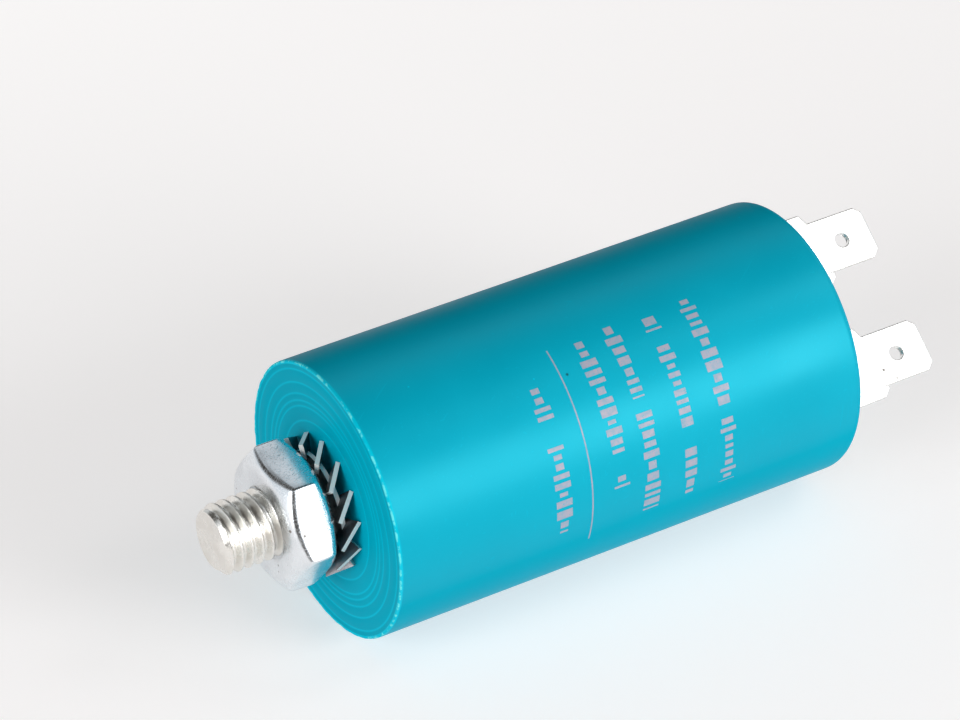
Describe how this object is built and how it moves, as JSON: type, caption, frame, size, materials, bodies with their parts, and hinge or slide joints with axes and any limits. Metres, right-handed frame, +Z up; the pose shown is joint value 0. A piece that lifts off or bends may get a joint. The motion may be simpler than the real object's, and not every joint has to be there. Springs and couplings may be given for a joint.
{
  "type": "motor run capacitor",
  "caption": "Cylindrical moulded capacitor can with a threaded fixing stud, nut and tooth washer at one end and paired push-on blade terminals at the other, for running a small motor.",
  "frame": {"origin": "on the can's axis, in the flat end face that the stud leaves", "axes": "+X along the can's axis from the stud end to the terminals, -X the way the stud points, +Z up with the can lying on its side as pictured"},
  "size_m": [0.0886, 0.032, 0.032],
  "materials": {
    "can_plastic": "waxy semi-matt moulded surface",
    "lid_plastic": "waxy semi-matt moulded surface",
    "stud_zinc": "bright zinc plate on a rolled thread",
    "nut_zinc": "bright zinc plate",
    "washer_zinc": "bright zinc plate on spring steel",
    "tinned_sheet": "bright tin plate on brass sheet",
    "rivet_tin": "dull tin plate",
    "core_plastic": "natural plastic",
    "metallised_film": "metallised film wound into a roll",
    "sprayed_zinc": "rough sprayed metal",
    "tinned_wire": "tinned wire",
    "sleeve_plastic": "plastic insulation",
    "potting_resin": "cast resin"
  },
  "bodies": {
    "root": {"can": "can_plastic", "lid": "lid_plastic", "stud": "stud_zinc", "hex_nut": "nut_zinc", "tooth_washer": "washer_zinc", "terminal_lower": "tinned_sheet", "terminal_upper": "tinned_sheet", "rivet_lower": "rivet_tin", "rivet_upper": "rivet_tin", "core_tube": "core_plastic", "winding": "metallised_film", "end_spray_stud": "sprayed_zinc", "end_spray_terminal": "sprayed_zinc", "lead_long": "tinned_wire", "lead_short": "tinned_wire", "lead_sleeve": "sleeve_plastic", "potting": "potting_resin"}
  },
  "joints": []
}
